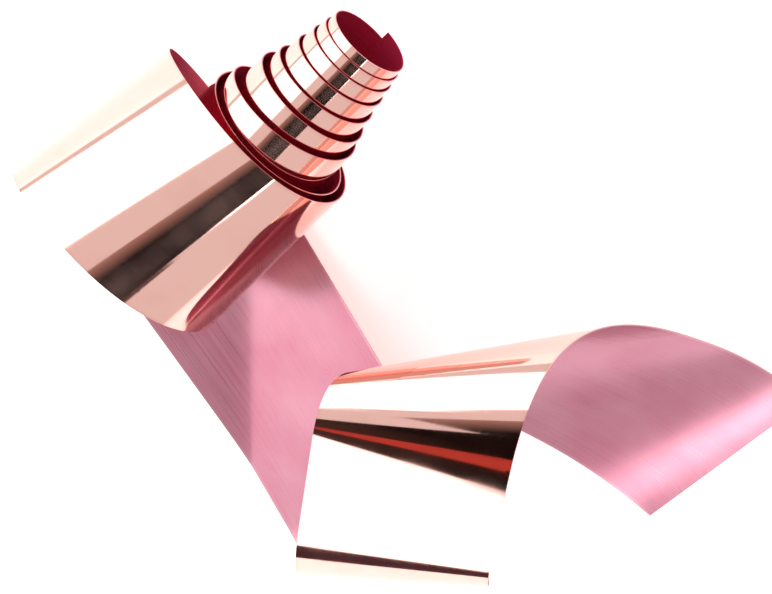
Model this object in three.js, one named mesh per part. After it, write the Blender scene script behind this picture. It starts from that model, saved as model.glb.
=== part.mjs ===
// Copper foil tape: one springy strip of rose-copper foil on a pink liner, loosely wound into a roll,
// with a long free tail that folds forward at its foot and back again at its crest.
// The strip is flat stock, so it bends only about straight rulings and never stretches.
// Millimetres and degrees. The origin is on the underside of the tail, which lies on the table.
import * as THREE from 'three';

// The flat stock.
const stripWidth = 50;
const foilThickness = 0.15;
const linerThickness = 0.15;
const plyGap = 0.05;
const stretchGap = 0.3;

// How finely a bend is divided into flat facets.
const facetTurn = 10;
const facetLength = 7;

// The stretches of the strip, from its inner end to its cut end. Each gives the bend and the skew of
// the rulings that it reaches at its end, and both change evenly along it. In the coil the bend is
// given as how much wider the winding has grown, so a turn always lies outside the one before it,
// and the outer turn flares and closes again by the same amount.
const innerEnd = { radius: 10, skew: -2 };
const outerFlare = 18;
const stretches = [
  { piece: 'inner_tube', length: 320, widening: 3.5, skew: -4 },
  { piece: 'middle_coil', length: 110, widening: 2, skew: -2 },
  { piece: 'middle_coil', length: 100, widening: 2.5, skew: -6 },
  { piece: 'middle_coil', length: 110, widening: 1.5, skew: 0 },
  { piece: 'outer_turn', length: 100, widening: 2.5, skew: 0 },
  { piece: 'outer_turn', length: 45, widening: outerFlare, skew: -20 },
  { piece: 'outer_turn', length: 30, widening: -outerFlare, skew: -1 },
  { piece: 'outer_turn', length: 20, widening: 0, skew: 0 },
  { piece: 'outer_turn', length: 32, radius: Infinity, skew: -38 },
  { piece: 'tail', length: 12, radius: Infinity, skew: -48 },
  { piece: 'tail', length: 12, radius: 32, skew: -55 },
  { piece: 'tail', length: 12, radius: Infinity, skew: -48 },
  { piece: 'tail', length: 20, radius: Infinity, skew: -30 },
  { piece: 'tail', length: 28, radius: Infinity, skew: 14 },
  { piece: 'bottom_bend', length: 24, radius: 9.4, skew: 32 },
  { piece: 'bottom_bend', length: 28, radius: Infinity, skew: 13 },
  { piece: 'front_panel', length: 20, radius: Infinity, skew: 0 },
  { piece: 'front_panel', length: 10, radius: 40, skew: 14 },
  { piece: 'top_bend', length: 16, radius: 12, skew: 26 },
  { piece: 'top_bend', length: 24, radius: 30, skew: 45 },
  { piece: 'top_bend', length: 16, radius: 200, skew: 50 },
  { piece: 'end_flap', length: 54, radius: 42, skew: 12 },
];

// The facet of this stretch that lies on the table, and the direction of the tail there.
const restingPiece = 'tail';
const restingShare = 0.25;
const tailHeading = -90;

// Each ply lies between two heights above the middle surface; the liner side is up.
const foil = {
  suffix: 'foil',
  low: -plyGap / 2 - foilThickness,
  high: -plyGap / 2,
  makeMaterial: makeFoil,
};
const liner = {
  suffix: 'liner',
  low: plyGap / 2,
  high: plyGap / 2 + linerThickness,
  makeMaterial: makeLiner,
};

function makeFoil() {
  return new THREE.MeshStandardMaterial({ color: 0xe6a694, roughness: 0.12, metalness: 1 });
}

function makeLiner() {
  return new THREE.MeshStandardMaterial({ color: 0xd07a9c, roughness: 0.42, metalness: 0.5 });
}

const mix = THREE.MathUtils.lerp;
const radians = THREE.MathUtils.degToRad;

// The rulings in the flat strip: where each one crosses the middle line, its skew and its fold angle.
function layRulings() {
  const rulings = [];
  let start = 0;
  let radius = innerEnd.radius;
  let skew = radians(innerEnd.skew);
  let lastStep = 0;
  for (const stretch of stretches) {
    const endRadius = stretch.radius ?? radius + stretch.widening;
    const curvature = 1 / radius;
    const endCurvature = 1 / endRadius;
    const endSkew = radians(stretch.skew);
    const turn = THREE.MathUtils.radToDeg(stretch.length * (curvature + endCurvature) / 2);
    const count = Math.ceil(Math.max(turn / facetTurn, stretch.length / facetLength));
    const step = stretch.length / count;
    for (let i = 0; i < count; i += 1) {
      const share = i / count;
      const reach = i === 0 ? (lastStep + step) / 2 : step;
      rulings.push({
        piece: stretch.piece,
        along: start + i * step,
        skew: mix(skew, endSkew, share),
        fold: mix(curvature, endCurvature, share) * reach,
      });
    }
    start += stretch.length;
    radius = endRadius;
    skew = endSkew;
    lastStep = step;
  }
  rulings.push({ piece: null, along: start, skew, fold: 0 });
  return rulings;
}

// The turn about a ruling that bends the strip towards its liner side.
function foldAbout(ruling) {
  const direction = new THREE.Vector3(Math.sin(ruling.skew), Math.cos(ruling.skew), 0);
  const toOrigin = new THREE.Matrix4().makeTranslation(-ruling.along, 0, 0);
  const turn = new THREE.Matrix4().makeRotationAxis(direction, -ruling.fold);
  return new THREE.Matrix4().makeTranslation(ruling.along, 0, 0).multiply(turn).multiply(toOrigin);
}

// Where each flat facet of the strip goes in space. Facet i lies between rulings i and i + 1.
function foldStrip(rulings) {
  const places = [new THREE.Matrix4()];
  for (let i = 1; i < rulings.length; i += 1) {
    places.push(places[i - 1].clone().multiply(foldAbout(rulings[i])));
  }
  const resting = rulings.map((ruling, i) => i).filter((i) => rulings[i].piece === restingPiece);
  const restFacet = resting[Math.floor(resting.length * restingShare)];
  const restMiddle = (rulings[restFacet].along + rulings[restFacet + 1].along) / 2;
  const placement = new THREE.Matrix4().makeRotationZ(radians(tailHeading))
    .multiply(new THREE.Matrix4().makeTranslation(-restMiddle, 0, -foil.low))
    .multiply(places[restFacet].clone().invert());
  return places.map((place) => place.premultiply(placement));
}

const rulings = layRulings();
const places = foldStrip(rulings);

function facetNormal(i) {
  return new THREE.Vector3(0, 0, 1).transformDirection(places[i]);
}

// A point of ruling i on one edge of the strip, raised from the middle surface by height.
function rulingCorner(i, side, height) {
  const across = side * stripWidth / 2;
  const flat = new THREE.Vector3(rulings[i].along + across * Math.tan(rulings[i].skew), across, 0);
  const before = facetNormal(Math.max(i - 1, 0));
  const after = facetNormal(i);
  const mitre = before.clone().add(after).divideScalar(1 + before.dot(after));
  return flat.applyMatrix4(places[i]).addScaledVector(mitre, height);
}

// A point beside ruling i, within the flat facet before it (way -1) or after it (way 1).
function endCorner(i, way, side, height) {
  const across = side * stripWidth / 2;
  const along = rulings[i].along + across * Math.tan(rulings[i].skew) + way * stretchGap / 2;
  const facet = way < 0 ? i - 1 : i;
  return new THREE.Vector3(along, across, height).applyMatrix4(places[facet]);
}

// The four corners of the ply's cross-section at one ruling, counterclockwise seen along the strip.
function crossSection(ply, cornerAt) {
  return [cornerAt(-1, ply.low), cornerAt(1, ply.low), cornerAt(1, ply.high), cornerAt(-1, ply.high)];
}

// The two triangles of a four-cornered face, its corners counterclockwise seen from outside.
function quad(a, b, c, d) {
  return [a, b, c, a, c, d];
}

// One stretch of one ply as a closed solid, from ruling first to ruling last.
function plyGeometry(ply, first, last) {
  const sections = [crossSection(ply, (side, height) => endCorner(first, 1, side, height))];
  for (let i = first + 1; i < last; i += 1) {
    sections.push(crossSection(ply, (side, height) => rulingCorner(i, side, height)));
  }
  sections.push(crossSection(ply, (side, height) => endCorner(last, -1, side, height)));
  const corners = sections[0].length;
  const lastSection = sections.length - 1;
  const faces = quad(3, 2, 1, 0);
  for (let section = 0; section < lastSection; section += 1) {
    for (let corner = 0; corner < corners; corner += 1) {
      const here = section * corners + corner;
      const beside = section * corners + (corner + 1) % corners;
      faces.push(...quad(here, beside, beside + corners, here + corners));
    }
  }
  const end = lastSection * corners;
  faces.push(...quad(end, end + 1, end + 2, end + 3));
  const geometry = new THREE.BufferGeometry().setFromPoints(sections.flat());
  geometry.setIndex(faces);
  geometry.computeVertexNormals();
  return geometry;
}

function makePly(ply, piece) {
  const own = rulings.map((ruling, i) => i).filter((i) => rulings[i].piece === piece);
  const mesh = new THREE.Mesh(plyGeometry(ply, own[0], own[own.length - 1] + 1), ply.makeMaterial());
  mesh.name = `${piece}_${ply.suffix}`;
  return mesh;
}

const tape = new THREE.Group();
for (const piece of new Set(stretches.map((stretch) => stretch.piece))) {
  tape.add(makePly(foil, piece));
  tape.add(makePly(liner, piece));
}

export default tape;
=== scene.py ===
# Copper foil tape: a loosely wound roll of rose-copper foil on its pink liner, with a long free tail.
# The strip is laid out flat and folded about its rulings, so it bends as real foil does.
# Metres and radians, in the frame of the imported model.
from math import ceil, cos, degrees, pi, radians, sin, tan

import bpy
from mathutils import Matrix, Vector


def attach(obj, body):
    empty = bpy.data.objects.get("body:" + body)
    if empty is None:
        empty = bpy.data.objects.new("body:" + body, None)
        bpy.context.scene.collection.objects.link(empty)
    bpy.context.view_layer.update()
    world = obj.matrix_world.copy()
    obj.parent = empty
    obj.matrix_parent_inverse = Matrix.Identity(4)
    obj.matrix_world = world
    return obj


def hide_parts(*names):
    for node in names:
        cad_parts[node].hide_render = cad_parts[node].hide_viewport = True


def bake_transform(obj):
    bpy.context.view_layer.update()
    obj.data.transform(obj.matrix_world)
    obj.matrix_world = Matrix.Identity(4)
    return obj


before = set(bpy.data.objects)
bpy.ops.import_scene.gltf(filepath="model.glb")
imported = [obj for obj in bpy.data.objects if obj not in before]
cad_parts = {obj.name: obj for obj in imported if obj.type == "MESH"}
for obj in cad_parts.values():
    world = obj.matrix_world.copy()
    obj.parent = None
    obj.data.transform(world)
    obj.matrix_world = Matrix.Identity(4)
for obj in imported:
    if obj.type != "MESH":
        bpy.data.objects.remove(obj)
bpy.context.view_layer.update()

bl_info = {
    "name": "Copper foil tape",
    "version": (1, 0, 0),
    "blender": (4, 5, 0),
    "location": "3D View > Sidebar > Foil tape",
    "description": "Builds a loosely wound roll of copper foil tape with a free tail, and its studio",
    "category": "Object",
}

MM = 0.001
STRAIGHT = float("inf")

# The strip where the winding starts: the radius of its bend and the skew of its rulings.
INNER_END = (10, -2)
OUTER_FLARE = 18

# The stretches of the strip from its inner end to its cut end: the piece, its length, the bend and the
# ruling skew reached at its end. The coil's bend is how much wider the winding has grown, and any other
# is a radius. Millimetres and degrees.
COIL_STRETCHES = (
    ("inner_tube", 320, 3.5, -4),
    ("middle_coil", 110, 2, -2),
    ("middle_coil", 100, 2.5, -6),
    ("middle_coil", 110, 1.5, 0),
    ("outer_turn", 100, 2.5, 0),
    ("outer_turn", 45, OUTER_FLARE, -20),
    ("outer_turn", 30, -OUTER_FLARE, -1),
    ("outer_turn", 20, 0, 0),
)
TAIL_STRETCHES = (
    ("outer_turn", 32, STRAIGHT, -38),
    ("tail", 12, STRAIGHT, -48),
    ("tail", 12, 32, -55),
    ("tail", 12, STRAIGHT, -48),
    ("tail", 20, STRAIGHT, -30),
    ("tail", 28, STRAIGHT, 14),
    ("bottom_bend", 24, 9.4, 32),
    ("bottom_bend", 28, STRAIGHT, 13),
    ("front_panel", 20, STRAIGHT, 0),
    ("front_panel", 10, 40, 14),
    ("top_bend", 16, 12, 26),
    ("top_bend", 24, 30, 45),
    ("top_bend", 16, 200, 50),
    ("end_flap", 54, 38.5, 12),
)

# The body each stretch rides on.
BODIES = {
    "inner_tube": "core",
    "middle_coil": "coil",
    "outer_turn": "roll",
    "tail": "tail",
    "bottom_bend": "bend",
    "front_panel": "panel",
    "top_bend": "crest",
    "end_flap": "flap",
}

# Where the tail lies on the table, measured from the start of the tail, and the way it points.
REST_FROM_TAIL_START = 21
TAIL_HEADING = radians(-90)

# How finely the strip is divided: the most it turns and the longest it runs between two rulings,
# and the divisions across it.
RULING_TURN = 2.5
RULING_LENGTH = 2
DIVISIONS_ACROSS = 6

# A little more than the farthest that a ply's surface lies from the middle surface.
JOIN_MARGIN = 0.2 * MM

# Creases sharper than this are shaded as edges.
SHARP_ANGLE = radians(40)

# Where along the strip the liner's colour begins and ends its change from the crimson painted reflection
# inside the coil to its own pink, in strip widths.
COIL_REFLECTION_FROM_TO = (16.2, 17.3)

# The softboxes: name, place, the point each faces, width, height and radiance.
STRIP_MIDDLE = (0.03, -0.02, 0.03)
FLAP_FOOT = (0.08, -0.10, 0.0)
SOFTBOXES = (
    ("key_softbox", (-0.50, 0.95, 0.75), STRIP_MIDDLE, 1.8, 1.4, 1.55),
    ("low_softbox", (-0.95, -0.42, 0.36), STRIP_MIDDLE, 0.9, 0.34, 1.5),
    ("flap_softbox", (-0.235, -0.36, 0.76), FLAP_FOOT, 0.30, 0.36, 4.5),
)
ROOM_COLOUR = (1, 0.985, 0.98, 1)
ROOM_STRENGTH = 0.85

# The corners of the cards that the foil mirrors: a dark one overhead, a red one in front of it,
# a dark one close over the roll and a dim one along the horizon. Each glows with its own colour and shows
# only in the foil, as a painted reflection.
DARK_CARD = (
    (-0.66, -0.20, 0.335),
    (-0.53, -0.06, 0.505),
    (-0.25, -0.11, 0.685),
    (-0.235, -0.43, 0.49),
    (-0.50, -0.43, 0.40),
)
RED_CARD = (
    (-0.535, -0.15, 0.385),
    (-0.525, -0.13, 0.415),
    (-0.40, -0.30, 0.455),
    (-0.43, -0.335, 0.405),
)
ROLL_CARD = (
    (-0.16, 0.0, 0.335),
    (-0.03, 0.0, 0.335),
    (-0.04, -0.17, 0.268),
    (-0.16, -0.185, 0.262),
)
LOW_CARD = (
    (-0.85, 0.0, 0.0),
    (-0.85, 0.0, 0.17),
    (-0.50, -0.75, 0.17),
    (-0.50, -0.75, 0.0),
)
CARD_CORNERS = ((0, 0), (0, 1), (1, 1), (1, 0), (0.5, 0))

# The floor lies a hair below the strip.
FLOOR_REACH = 3.0
FLOOR_HEIGHT = -0.2 * MM

LENS = 137.1
CAMERA_PLACE = (0.2638, -0.0106, 0.7151)
CAMERA_TURN = (-11.197, 14.192, -35.930)


class FoilTapeStrip(bpy.types.PropertyGroup):
    width: bpy.props.FloatProperty(
        name="Strip width", description="Width of the flat strip", default=50 * MM, unit="LENGTH"
    )
    foil_thickness: bpy.props.FloatProperty(
        name="Foil thickness", description="Thickness of the copper ply", default=0.15 * MM, unit="LENGTH"
    )
    liner_thickness: bpy.props.FloatProperty(
        name="Liner thickness", description="Thickness of the pink ply", default=0.15 * MM, unit="LENGTH"
    )
    ply_gap: bpy.props.FloatProperty(
        name="Adhesive gap", description="Gap between the plies", default=0.05 * MM, unit="LENGTH"
    )
    join_reach: bpy.props.FloatProperty(
        name="Join reach", description="How far each flexible join runs to either side",
        default=9 * MM, unit="LENGTH"
    )


class FoilTapeLooks(bpy.types.PropertyGroup):
    copper: bpy.props.FloatVectorProperty(
        name="Copper", description="Bare rose copper", default=(0.93, 0.55, 0.48), subtype="COLOR", size=3
    )
    tarnish: bpy.props.FloatVectorProperty(
        name="Tarnish", description="Copper where it has been handled", default=(0.84, 0.43, 0.36),
        subtype="COLOR", size=3
    )
    liner: bpy.props.FloatVectorProperty(
        name="Liner pink", description="The satin pink liner", default=(0.52, 0.18, 0.25),
        subtype="COLOR", size=3
    )
    # The crimson painted on the liner inside the coil: a painted reflection of the light bouncing between
    # the coiled layers.
    liner_coil_reflection: bpy.props.FloatVectorProperty(
        name="Liner deep pink", description="The reflection_crimson liner inside the coil",
        default=(0.72, 0.045, 0.14),
        subtype="COLOR", size=3
    )
    liner_pale: bpy.props.FloatVectorProperty(
        name="Liner pale pink", description="The paler streaks in the liner", default=(0.68, 0.36, 0.43),
        subtype="COLOR", size=3
    )
    floor: bpy.props.FloatVectorProperty(
        name="Floor", description="The pale floor", default=(0.97, 0.97, 0.97), subtype="COLOR", size=3
    )


# The strip.


def all_stretches():
    """Every stretch as its piece, length, end radius and end skew."""
    radius = INNER_END[0]
    for piece, length, widening, skew in COIL_STRETCHES:
        radius += widening
        yield piece, length, radius, skew
    yield from TAIL_STRETCHES


def lay_rulings():
    """The rulings in the flat strip: the piece that starts there, place along, skew and fold."""
    rulings = []
    start = 0.0
    curvature = 1 / INNER_END[0]
    skew = radians(INNER_END[1])
    last_step = 0.0
    for piece, length, end_radius, end_skew in all_stretches():
        end_curvature = 1 / end_radius
        end_skew = radians(end_skew)
        turn = degrees(length * (curvature + end_curvature) / 2)
        count = ceil(max(turn / RULING_TURN, length / RULING_LENGTH))
        step = length / count
        for i in range(count):
            share = i / count
            reach = (last_step + step) / 2 if i == 0 else step
            bend = curvature + (end_curvature - curvature) * share
            lean = skew + (end_skew - skew) * share
            along = (start + i * step) * MM
            rulings.append({"piece": piece, "along": along, "skew": lean, "fold": bend * reach})
        start += length
        curvature, skew, last_step = end_curvature, end_skew, step
    rulings.append({"piece": None, "along": start * MM, "skew": skew, "fold": 0.0})
    return rulings


def fold_about(ruling):
    """The turn about a ruling that bends the strip towards its liner side."""
    direction = Vector((sin(ruling["skew"]), cos(ruling["skew"]), 0))
    centre = Matrix.Translation((ruling["along"], 0, 0))
    return centre @ Matrix.Rotation(-ruling["fold"], 4, direction) @ centre.inverted()


def fold_strip(rulings, rest_height):
    """Where each facet between two rulings goes in space, with the tail lying on the table."""
    places = [Matrix.Identity(4)]
    for ruling in rulings[1:]:
        places.append(places[-1] @ fold_about(ruling))
    tail_start = next(r["along"] for r in rulings if r["piece"] == "tail")
    rest_along = tail_start + REST_FROM_TAIL_START * MM
    rest = max(i for i, r in enumerate(rulings) if r["along"] <= rest_along)
    heading = Matrix.Rotation(TAIL_HEADING, 4, "Z")
    placement = heading @ Matrix.Translation((-rest_along, 0, rest_height)) @ places[rest].inverted()
    return [placement @ place for place in places]


class Strip:
    """The folded strip. A point on it is given by a ruling, a share across and a height."""

    def __init__(self, sizes):
        self.width = sizes.width
        self.rulings = lay_rulings()
        self.places = fold_strip(self.rulings, sizes.ply_gap / 2 + sizes.foil_thickness)
        self.normals = [place.to_3x3() @ Vector((0, 0, 1)) for place in self.places]

    def point(self, i, share, height):
        across = (share - 0.5) * self.width
        ruling = self.rulings[i]
        flat = Vector((ruling["along"] + across * tan(ruling["skew"]), across, 0))
        before, after = self.normals[max(i - 1, 0)], self.normals[i]
        mitre = (before + after) / (1 + before.dot(after))
        return self.places[i] @ flat + mitre * height

    def flat_point(self, i, share):
        across = (share - 0.5) * self.width
        return self.rulings[i]["along"] + across * tan(self.rulings[i]["skew"]), across

    def middle(self, i):
        return self.point(i, 0.5, 0)

    def nearest(self, along):
        return min(range(len(self.rulings)), key=lambda i: abs(self.rulings[i]["along"] - along))


def ply_mesh(name, strip, low, high, first, last):
    """One ply between two rulings as a closed thin solid, with its UV map laid out as the flat strip."""
    columns = DIVISIONS_ACROSS + 1
    rows = last - first + 1
    vertices = []
    flats = []
    for height in (low, high):
        for i in range(first, last + 1):
            for column in range(columns):
                share = column / DIVISIONS_ACROSS
                vertices.append(strip.point(i, share, height))
                flats.append(strip.flat_point(i, share))

    def corner(layer, row, column):
        return (layer * rows + row) * columns + column

    faces = []
    for row in range(rows - 1):
        for column in range(DIVISIONS_ACROSS):
            ring = [(row, column), (row + 1, column), (row + 1, column + 1), (row, column + 1)]
            faces.append([corner(1, *place) for place in ring])
            faces.append([corner(0, *place) for place in reversed(ring)])
        for column, way in ((0, 1), (DIVISIONS_ACROSS, -1)):
            rim = [corner(0, row, column), corner(0, row + 1, column)]
            rim += [corner(1, row + 1, column), corner(1, row, column)]
            faces.append(rim[::way])
    for row, way in ((0, -1), (rows - 1, 1)):
        for column in range(DIVISIONS_ACROSS):
            end = [corner(0, row, column), corner(0, row, column + 1)]
            end += [corner(1, row, column + 1), corner(1, row, column)]
            faces.append(end[::way])
    mesh = bpy.data.meshes.new(name)
    mesh.from_pydata(vertices, [], faces)
    layer = mesh.uv_layers.new(name="strip")
    for loop in mesh.loops:
        layer.data[loop.index].uv = [value / strip.width for value in flats[loop.vertex_index]]
    mesh.shade_smooth()
    mesh.set_sharp_from_angle(angle=SHARP_ANGLE)
    mesh.update()
    return mesh


def add_piece(name, mesh, material):
    piece = bpy.data.objects.new(name, mesh)
    bpy.context.scene.collection.objects.link(piece)
    mesh.materials.append(material)
    return piece


def spans(strip, join_reach):
    """The strip cut into rigid stretches and the joins between them: name, rulings, bodies and stretches.
    """
    starts = {}
    for i, ruling in enumerate(strip.rulings):
        starts.setdefault(ruling["piece"], i)
    names = list(BODIES)
    cuts = []
    first = 0
    for before, after in zip(names, names[1:]):
        boundary = strip.rulings[starts[after]]["along"]
        low, high = strip.nearest(boundary - join_reach), strip.nearest(boundary + join_reach)
        cuts.append((before, first, low, (BODIES[before],), (before,)))
        cuts.append((f"{before}_to_{after}", low, high, (BODIES[before], BODIES[after]), (before, after)))
        first = high
    cuts.append((names[-1], first, len(strip.rulings) - 1, (BODIES[names[-1]],), (names[-1],)))
    return cuts


def join_ends(strip, first, last):
    """Two points along a line square to a join's rulings, one past its first and one before its last."""
    lean = Vector((0, 0, 0))
    for i in (first, last):
        lean += (strip.point(i, 1, 0) - strip.point(i, 0, 0)).normalized()
    lean.normalize()
    start = strip.middle(first)
    way = strip.middle(last) - start
    way = (way - lean * way.dot(lean)).normalized()
    heights = (-JOIN_MARGIN, JOIN_MARGIN)

    def reaches(i):
        return [(strip.point(i, share, height) - start).dot(way) for share in (0, 1) for height in heights]

    near = max(reaches(first))
    far = min(reaches(last))
    if far <= near:
        raise ValueError("the rulings of a join cross, so it can't bend between two bodies")
    return start + way * near, start + way * far


def build_ply(suffix, material, low, high):
    """Every piece of one ply: each stretch rides on its body, and each join between two bodies is left
    fixed where it lies.
    """
    sizes = bpy.context.scene.foil_tape_strip
    strip = Strip(sizes)
    for name, first, last, bodies, stretches in spans(strip, sizes.join_reach):
        mesh = ply_mesh(f"{name}_{suffix}_strip", strip, low, high, first, last)
        piece = add_piece(f"{name}_{suffix}_strip", mesh, material)
        if len(bodies) == 1:
            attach(piece, bodies[0])
            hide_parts(f"{stretches[0]}_{suffix}")
        else:
            start, end = join_ends(strip, first, last)
            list(bodies)
            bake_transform(piece)
            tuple(start)
            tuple(end)


# The materials.


def add_node(tree, kind, **inputs):
    node = tree.nodes.new(kind)
    for name, value in inputs.items():
        socket = node.inputs[name.replace("_", " ")]
        if isinstance(value, bpy.types.NodeSocket):
            tree.links.new(value, socket)
        else:
            socket.default_value = value
    return node


def maths(tree, operation, *values, clamp=False):
    node = tree.nodes.new("ShaderNodeMath")
    node.operation = operation
    node.use_clamp = clamp
    for socket, value in zip(node.inputs, values):
        if isinstance(value, bpy.types.NodeSocket):
            tree.links.new(value, socket)
        else:
            socket.default_value = value
    return node.outputs[0]


def blend_colours(tree, share, first, second):
    node = tree.nodes.new("ShaderNodeMix")
    node.data_type = "RGBA"
    for name, value in (("Factor_Float", share), ("A_Color", first), ("B_Color", second)):
        socket = next(s for s in node.inputs if s.identifier == name)
        if isinstance(value, bpy.types.NodeSocket):
            tree.links.new(value, socket)
        else:
            socket.default_value = value
    return next(s for s in node.outputs if s.identifier == "Result_Color")


def remap(tree, value, low, high, to_low, to_high):
    node = add_node(tree, "ShaderNodeMapRange", Value=value)
    node.clamp = True
    for name, limit in (("From Min", low), ("From Max", high), ("To Min", to_low), ("To Max", to_high)):
        node.inputs[name].default_value = limit
    return node.outputs["Result"]


def strip_coordinates(tree, along, across):
    """The flat strip's coordinates, in strip widths, stretched by a factor along and across it."""
    uv = tree.nodes.new("ShaderNodeUVMap")
    uv.uv_map = "strip"
    scaled = add_node(tree, "ShaderNodeVectorMath", Vector=uv.outputs["UV"])
    scaled.operation = "MULTIPLY"
    scaled.inputs[1].default_value = (along, across, 1)
    return scaled.outputs["Vector"]


def noise(tree, vector, scale=1.0, detail=2.0, roughness=0.5):
    node = add_node(tree, "ShaderNodeTexNoise", Vector=vector, Scale=scale)
    node.inputs["Detail"].default_value = detail
    node.inputs["Roughness"].default_value = roughness
    return node.outputs["Fac"]


def make_strip_wear_group():
    """Marks both plies share: lines along the strip, gentle waves, small dents and a worn edge."""
    group = bpy.data.node_groups.new("strip_wear", "ShaderNodeTree")
    for name in ("Line density", "Line depth", "Wave depth", "Dent depth"):
        group.interface.new_socket(name, in_out="INPUT", socket_type="NodeSocketFloat")
    for name in ("Lines", "Edge", "Height"):
        group.interface.new_socket(name, in_out="OUTPUT", socket_type="NodeSocketFloat")
    inlet = group.nodes.new("NodeGroupInput")
    outlet = group.nodes.new("NodeGroupOutput")
    uv = group.nodes.new("ShaderNodeUVMap")
    uv.uv_map = "strip"
    parts = add_node(group, "ShaderNodeSeparateXYZ", Vector=uv.outputs["UV"])
    along, across = parts.outputs["X"], parts.outputs["Y"]

    fine = group.nodes.new("ShaderNodeCombineXYZ")
    group.links.new(maths(group, "MULTIPLY", along, 0.8), fine.inputs["X"])
    group.links.new(maths(group, "MULTIPLY", across, inlet.outputs["Line density"]), fine.inputs["Y"])
    lines = noise(group, fine.outputs["Vector"], 1.0, 3.0, 0.6)
    waves = noise(group, strip_coordinates(group, 1.6, 1.1), 1.0, 1.0, 0.4)
    cells = add_node(group, "ShaderNodeTexVoronoi", Vector=strip_coordinates(group, 3.2, 4.5), Scale=1.0)
    dents = remap(group, cells.outputs["Distance"], 0.0, 0.09, 1.0, 0.0)
    from_edge = maths(group, "SUBTRACT", 0.5, maths(group, "ABSOLUTE", across))
    raggedness = maths(group, "MULTIPLY", maths(group, "SUBTRACT", lines, 0.5), 0.012)
    ragged = maths(group, "ADD", from_edge, raggedness)
    edge = remap(group, ragged, 0.0, 0.022, 1.0, 0.0)

    height = maths(group, "MULTIPLY", lines, inlet.outputs["Line depth"])
    height = maths(group, "ADD", height, maths(group, "MULTIPLY", waves, inlet.outputs["Wave depth"]))
    height = maths(group, "SUBTRACT", height, maths(group, "MULTIPLY", dents, inlet.outputs["Dent depth"]))
    for name, value in (("Lines", lines), ("Edge", edge), ("Height", height)):
        group.links.new(value, outlet.inputs[name])
    return group


def strip_wear(tree, density, line_depth, wave_depth, dent_depth):
    group = bpy.data.node_groups.get("strip_wear") or make_strip_wear_group()
    node = tree.nodes.new("ShaderNodeGroup")
    node.node_tree = group
    node.inputs["Line density"].default_value = density
    node.inputs["Line depth"].default_value = line_depth
    node.inputs["Wave depth"].default_value = wave_depth
    node.inputs["Dent depth"].default_value = dent_depth
    return node.outputs


def new_material(name):
    material = bpy.data.materials.new(name)
    material.use_nodes = True
    tree = material.node_tree
    return material, tree, tree.nodes["Principled BSDF"]


def with_alpha(colour):
    return (*colour, 1.0)


def rose_copper():
    """Mirror-bright rolled copper, faintly lined along the strip, duller and redder where handled."""
    looks = bpy.context.scene.foil_tape_looks
    material, tree, shader = new_material("rose_copper_foil")
    wear = strip_wear(tree, 70.0, 0.012, 0.6, 0.1)
    smears = noise(tree, strip_coordinates(tree, 2.4, 3.0), 1.0, 4.0, 0.6)
    handled = remap(tree, smears, 0.5, 0.75, 0.0, 0.35)
    worn = maths(tree, "MAXIMUM", handled, maths(tree, "MULTIPLY", wear["Edge"], 0.5))
    colour = blend_colours(tree, worn, with_alpha(looks.copper), with_alpha(looks.tarnish))
    tree.links.new(colour, shader.inputs["Base Color"])
    smeared = remap(tree, smears, 0.35, 0.8, 0.04, 0.10)
    lined = remap(tree, wear["Lines"], 0.4, 0.8, 0.0, 0.02)
    rough = maths(tree, "ADD", smeared, lined)
    tree.links.new(rough, shader.inputs["Roughness"])
    shader.inputs["Metallic"].default_value = 1.0
    bump = add_node(tree, "ShaderNodeBump", Height=wear["Height"], Strength=0.6, Distance=0.00018)
    tree.links.new(bump.outputs["Normal"], shader.inputs["Normal"])
    return material


def pink_liner():
    """Satin metallic pink film with fine lines and paler streaks, painted crimson inside the coil as a
    painted reflection of the light between the coiled layers.
    """
    looks = bpy.context.scene.foil_tape_looks
    material, tree, shader = new_material("pink_liner_film")
    wear = strip_wear(tree, 120.0, 0.07, 0.5, 0.25)
    streak = remap(tree, wear["Lines"], 0.35, 0.7, 0.0, 0.35)
    clouds = noise(tree, strip_coordinates(tree, 1.5, 2.0), 1.0, 3.0, 0.55)
    cloud = remap(tree, clouds, 0.35, 0.7, 0.0, 0.5)
    pale = maths(tree, "ADD", maths(tree, "MULTIPLY", streak, 0.5), cloud, clamp=True)
    pale = maths(tree, "MAXIMUM", pale, maths(tree, "MULTIPLY", wear["Edge"], 0.8))
    colour = blend_colours(tree, pale, with_alpha(looks.liner), with_alpha(looks.liner_pale))
    # Inside the coil the liner is painted crimson, a painted reflection of light bouncing between the
    # coiled layers; it gives way to the liner's own pink near the end of the coil.
    along = add_node(tree, "ShaderNodeSeparateXYZ", Vector=strip_coordinates(tree, 1, 1)).outputs["X"]
    past_coil_reflection = remap(tree, along, *COIL_REFLECTION_FROM_TO, 0.0, 1.0)
    colour = blend_colours(tree, past_coil_reflection, with_alpha(looks.liner_coil_reflection), colour)
    tree.links.new(colour, shader.inputs["Base Color"])
    tree.links.new(remap(tree, wear["Lines"], 0.3, 0.8, 0.26, 0.36), shader.inputs["Roughness"])
    shader.inputs["Metallic"].default_value = 0.8
    bump = add_node(tree, "ShaderNodeBump", Height=wear["Height"], Strength=0.5, Distance=0.00012)
    tree.links.new(bump.outputs["Normal"], shader.inputs["Normal"])
    return material


def pale_floor():
    """A plain pale floor that glows faintly, so that shadows on it stay soft."""
    looks = bpy.context.scene.foil_tape_looks
    material, tree, shader = new_material("pale_floor")
    speckle = noise(tree, add_node(tree, "ShaderNodeTexCoord").outputs["Object"], 400.0, 2.0, 0.5)
    tone = with_alpha(looks.floor)
    darker = (*(part * 0.985 for part in looks.floor), 1.0)
    tree.links.new(blend_colours(tree, speckle, darker, tone), shader.inputs["Base Color"])
    shader.inputs["Roughness"].default_value = 0.7
    shader.inputs["Emission Color"].default_value = (1, 1, 1, 1)
    shader.inputs["Emission Strength"].default_value = 0.35
    return material


# The operators.


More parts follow.
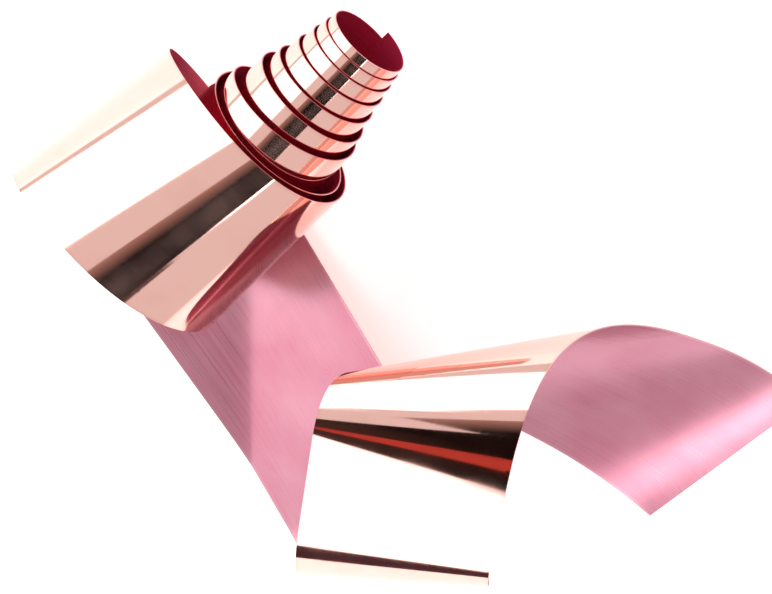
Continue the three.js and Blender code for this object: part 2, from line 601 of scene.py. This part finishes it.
class BuildFoilPly(bpy.types.Operator):
    """Build the copper foil ply of the strip, from its inner end to its cut end."""

    bl_idname = "foil_tape.build_foil"
    bl_label = "Build the foil"

    def execute(self, context):
        sizes = context.scene.foil_tape_strip
        high = -sizes.ply_gap / 2
        build_ply("foil", rose_copper(), high - sizes.foil_thickness, high)
        return {"FINISHED"}


class BuildLinerPly(bpy.types.Operator):
    """Build the pink liner ply of the strip."""

    bl_idname = "foil_tape.build_liner"
    bl_label = "Build the liner"

    def execute(self, context):
        sizes = context.scene.foil_tape_strip
        low = sizes.ply_gap / 2
        build_ply("liner", pink_liner(), low, low + sizes.liner_thickness)
        return {"FINISHED"}


def add_softbox(name, place, target, width, height, radiance):
    """A rectangular softbox that faces the target, out of the camera's sight."""
    light = bpy.data.lights.new(name, "AREA")
    light.shape = "RECTANGLE"
    light.size = width
    light.size_y = height
    light.energy = radiance * pi * width * height
    lamp = bpy.data.objects.new(name, light)
    bpy.context.scene.collection.objects.link(lamp)
    lamp.location = place
    lamp.rotation_euler = (Vector(target) - Vector(place)).to_track_quat("-Z", "Y").to_euler()
    lamp.visible_camera = False


def card_glow(name, colour, edge_colour, one_sided=False):
    """The glow of a studio card, a painted reflection for the foil: its colour is emitted, paler towards
    its two long sides or towards the first of them.
    """
    material, tree, shader = new_material(name)
    uv = add_node(tree, "ShaderNodeTexCoord").outputs["UV"]
    across = add_node(tree, "ShaderNodeSeparateXYZ", Vector=uv).outputs["X"]
    if one_sided:
        depth = remap(tree, across, 0.0, 0.35, 0.0, 1.0)
    else:
        from_middle = maths(tree, "ABSOLUTE", maths(tree, "SUBTRACT", across, 0.5))
        depth = remap(tree, maths(tree, "SUBTRACT", 0.5, from_middle), 0.0, 0.3, 0.0, 1.0)
    tone = blend_colours(tree, depth, with_alpha(edge_colour), with_alpha(colour))
    tree.links.new(tone, shader.inputs["Emission Color"])
    shader.inputs["Emission Strength"].default_value = 1.0
    shader.inputs["Base Color"].default_value = (0, 0, 0, 1)
    shader.inputs["Roughness"].default_value = 1.0
    shader.inputs["Specular IOR Level"].default_value = 0.0
    return material


def add_card(name, corners, material):
    """A flat card outside the picture that shows only in the foil's reflections."""
    mesh = bpy.data.meshes.new(name)
    mesh.from_pydata([Vector(corner) for corner in corners], [], [tuple(range(len(corners)))])
    layer = mesh.uv_layers.new(name="card")
    for loop, place in zip(layer.data, CARD_CORNERS):
        loop.uv = place
    card = add_piece(name, mesh, material)
    card.visible_camera = False
    card.visible_diffuse = False
    card.visible_shadow = False


class BuildStage(bpy.types.Operator):
    """Set up the pale floor, the soft lights, the cards and the camera."""

    bl_idname = "foil_tape.build_stage"
    bl_label = "Build the stage"

    def execute(self, context):
        scene = context.scene
        mesh = bpy.data.meshes.new("floor")
        corners = [(-1, -1), (1, -1), (1, 1), (-1, 1)]
        mesh.from_pydata([(x * FLOOR_REACH, y * FLOOR_REACH, 0) for x, y in corners], [], [(0, 1, 2, 3)])
        floor_object = add_piece("floor", mesh, pale_floor())
        floor_object.location.z = FLOOR_HEIGHT
        for softbox in SOFTBOXES:
            add_softbox(*softbox)
        # The cards glow with these colours and are seen only in the foil: painted reflections, dark, red
        # and dim.
        dark = card_glow("dark_card_glow", (0.010, 0.006, 0.005), (0.10, 0.055, 0.045))
        red = card_glow("red_card_glow", (0.50, 0.07, 0.05), (0.20, 0.03, 0.02))
        roll_glow = card_glow("roll_card_glow", (0.008, 0.006, 0.005), (0.42, 0.28, 0.24), one_sided=True)
        dusk = card_glow("low_card_glow", (0.07, 0.035, 0.045), (0.03, 0.012, 0.015))
        add_card("dark_card", DARK_CARD, dark)
        add_card("red_card", RED_CARD, red)
        add_card("roll_card", ROLL_CARD, roll_glow)
        add_card("low_card", LOW_CARD, dusk)
        world = bpy.data.worlds.new("studio")
        world.use_nodes = True
        room = world.node_tree.nodes["Background"]
        room.inputs["Color"].default_value = ROOM_COLOUR
        room.inputs["Strength"].default_value = ROOM_STRENGTH
        scene.world = world
        scene.view_settings.view_transform = "Standard"

        lens = bpy.data.cameras.new("camera")
        lens.lens = LENS
        camera = bpy.data.objects.new("camera", lens)
        scene.collection.objects.link(camera)
        camera.location = CAMERA_PLACE
        camera.rotation_euler = [radians(angle) for angle in CAMERA_TURN]
        scene.camera = camera
        return {"FINISHED"}


class FoilTapePanel(bpy.types.Panel):
    """Sizes, colours and the steps of the build."""

    bl_idname = "VIEW3D_PT_foil_tape"
    bl_label = "Copper foil tape"
    bl_space_type = "VIEW_3D"
    bl_region_type = "UI"
    bl_category = "Foil tape"

    def draw(self, context):
        for group in (context.scene.foil_tape_strip, context.scene.foil_tape_looks):
            for name in group.__annotations__:
                self.layout.prop(group, name)
        for operator in OPERATORS:
            self.layout.operator(operator.bl_idname)


OPERATORS = (BuildStage, BuildFoilPly, BuildLinerPly)
CLASSES = (FoilTapeStrip, FoilTapeLooks, *OPERATORS, FoilTapePanel)


def register():
    for cls in CLASSES:
        bpy.utils.register_class(cls)
    bpy.types.Scene.foil_tape_strip = bpy.props.PointerProperty(type=FoilTapeStrip)
    bpy.types.Scene.foil_tape_looks = bpy.props.PointerProperty(type=FoilTapeLooks)


def unregister():
    del bpy.types.Scene.foil_tape_looks
    del bpy.types.Scene.foil_tape_strip
    for cls in reversed(CLASSES):
        bpy.utils.unregister_class(cls)


def main():
    register()
    bpy.ops.foil_tape.build_stage()
    bpy.ops.foil_tape.build_foil()
    bpy.ops.foil_tape.build_liner()


if __name__ == "__main__":
    main()
